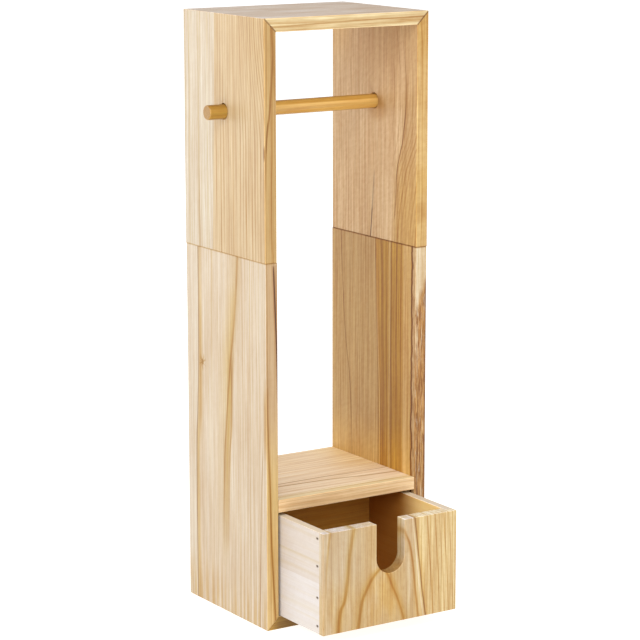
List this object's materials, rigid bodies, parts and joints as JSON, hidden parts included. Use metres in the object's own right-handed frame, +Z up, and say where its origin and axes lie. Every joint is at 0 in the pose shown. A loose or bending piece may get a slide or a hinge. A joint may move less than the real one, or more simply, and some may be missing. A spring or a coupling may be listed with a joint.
{
  "type": "free-standing paper roll holder",
  "caption": "Tall free-standing wooden stand with a sliding rod that carries a paper roll, an open shelf below it and a front drawer with a finger notch.",
  "frame": {"origin": "centre of the footprint of the two box modules, on the floor plane; the open drawer and the rod's free end are left out of that centre", "axes": "+Z up; -Y towards the open front that the drawer is pulled out of; the rod runs along X and its free end points along -X"},
  "size_m": [0.2114, 0.2315, 0.61],
  "materials": {
    "top_board": "satin clear-finished pale softwood-like board, greyish beige",
    "upper_board": "satin clear-finished pale board, fine golden straight grain, edge glued",
    "lower_board": "satin clear-finished pale board, golden and brown streaks, edge glued",
    "shelf_board": "satin clear-finished pale board, grain along the width",
    "rod_wood": "satin amber dowel rod",
    "drawer_front_board": "satin clear-finished board with strong cathedral grain",
    "drawer_side_board": "dull, nearly white board",
    "plywood": "dull thin plywood",
    "dowel_wood": "dull fluted-type glue dowel, modelled plain",
    "brad_steel": "dull wire brad"
  },
  "bodies": {
    "stand": {"top_panel": "top_board", "upper_left_side": "upper_board", "upper_right_side": "upper_board", "lower_left_side": "lower_board", "lower_right_side": "lower_board", "bottom_panel": "shelf_board", "shelf": "shelf_board", "drawer_bay_back": "plywood", "top_mitre_spline_left": "plywood", "bottom_mitre_spline_left": "plywood", "module_dowel_left_front": "dowel_wood", "shelf_dowel_left_front": "dowel_wood", "module_dowel_left_rear": "dowel_wood", "shelf_dowel_left_rear": "dowel_wood", "top_mitre_spline_right": "plywood", "bottom_mitre_spline_right": "plywood", "module_dowel_right_front": "dowel_wood", "shelf_dowel_right_front": "dowel_wood", "module_dowel_right_rear": "dowel_wood", "shelf_dowel_right_rear": "dowel_wood"},
    "rod": {"roll_rod": "rod_wood"},
    "drawer": {"drawer_front": "drawer_front_board", "drawer_left_side": "drawer_side_board", "drawer_right_side": "drawer_side_board", "drawer_back": "drawer_side_board", "drawer_bottom": "plywood", "drawer_brad_left_front_1": "brad_steel", "drawer_brad_left_front_2": "brad_steel", "drawer_brad_left_front_3": "brad_steel", "drawer_brad_left_front_4": "brad_steel", "drawer_brad_left_rear_1": "brad_steel", "drawer_brad_left_rear_2": "brad_steel", "drawer_brad_left_rear_3": "brad_steel", "drawer_brad_left_rear_4": "brad_steel", "drawer_brad_right_front_1": "brad_steel", "drawer_brad_right_front_2": "brad_steel", "drawer_brad_right_front_3": "brad_steel", "drawer_brad_right_front_4": "brad_steel", "drawer_brad_right_rear_1": "brad_steel", "drawer_brad_right_rear_2": "brad_steel", "drawer_brad_right_rear_3": "brad_steel", "drawer_brad_right_rear_4": "brad_steel"}
  },
  "joints": [
    {"name": "rod_slide", "type": "slide", "parent": "stand", "child": "rod", "axis": [-1, 0, 0], "range_m": [0, 0.18]},
    {"name": "drawer_slide", "type": "slide", "parent": "stand", "child": "drawer", "axis": [0, -1, 0], "range_m": [-0.0775, 0.06]}
  ]
}
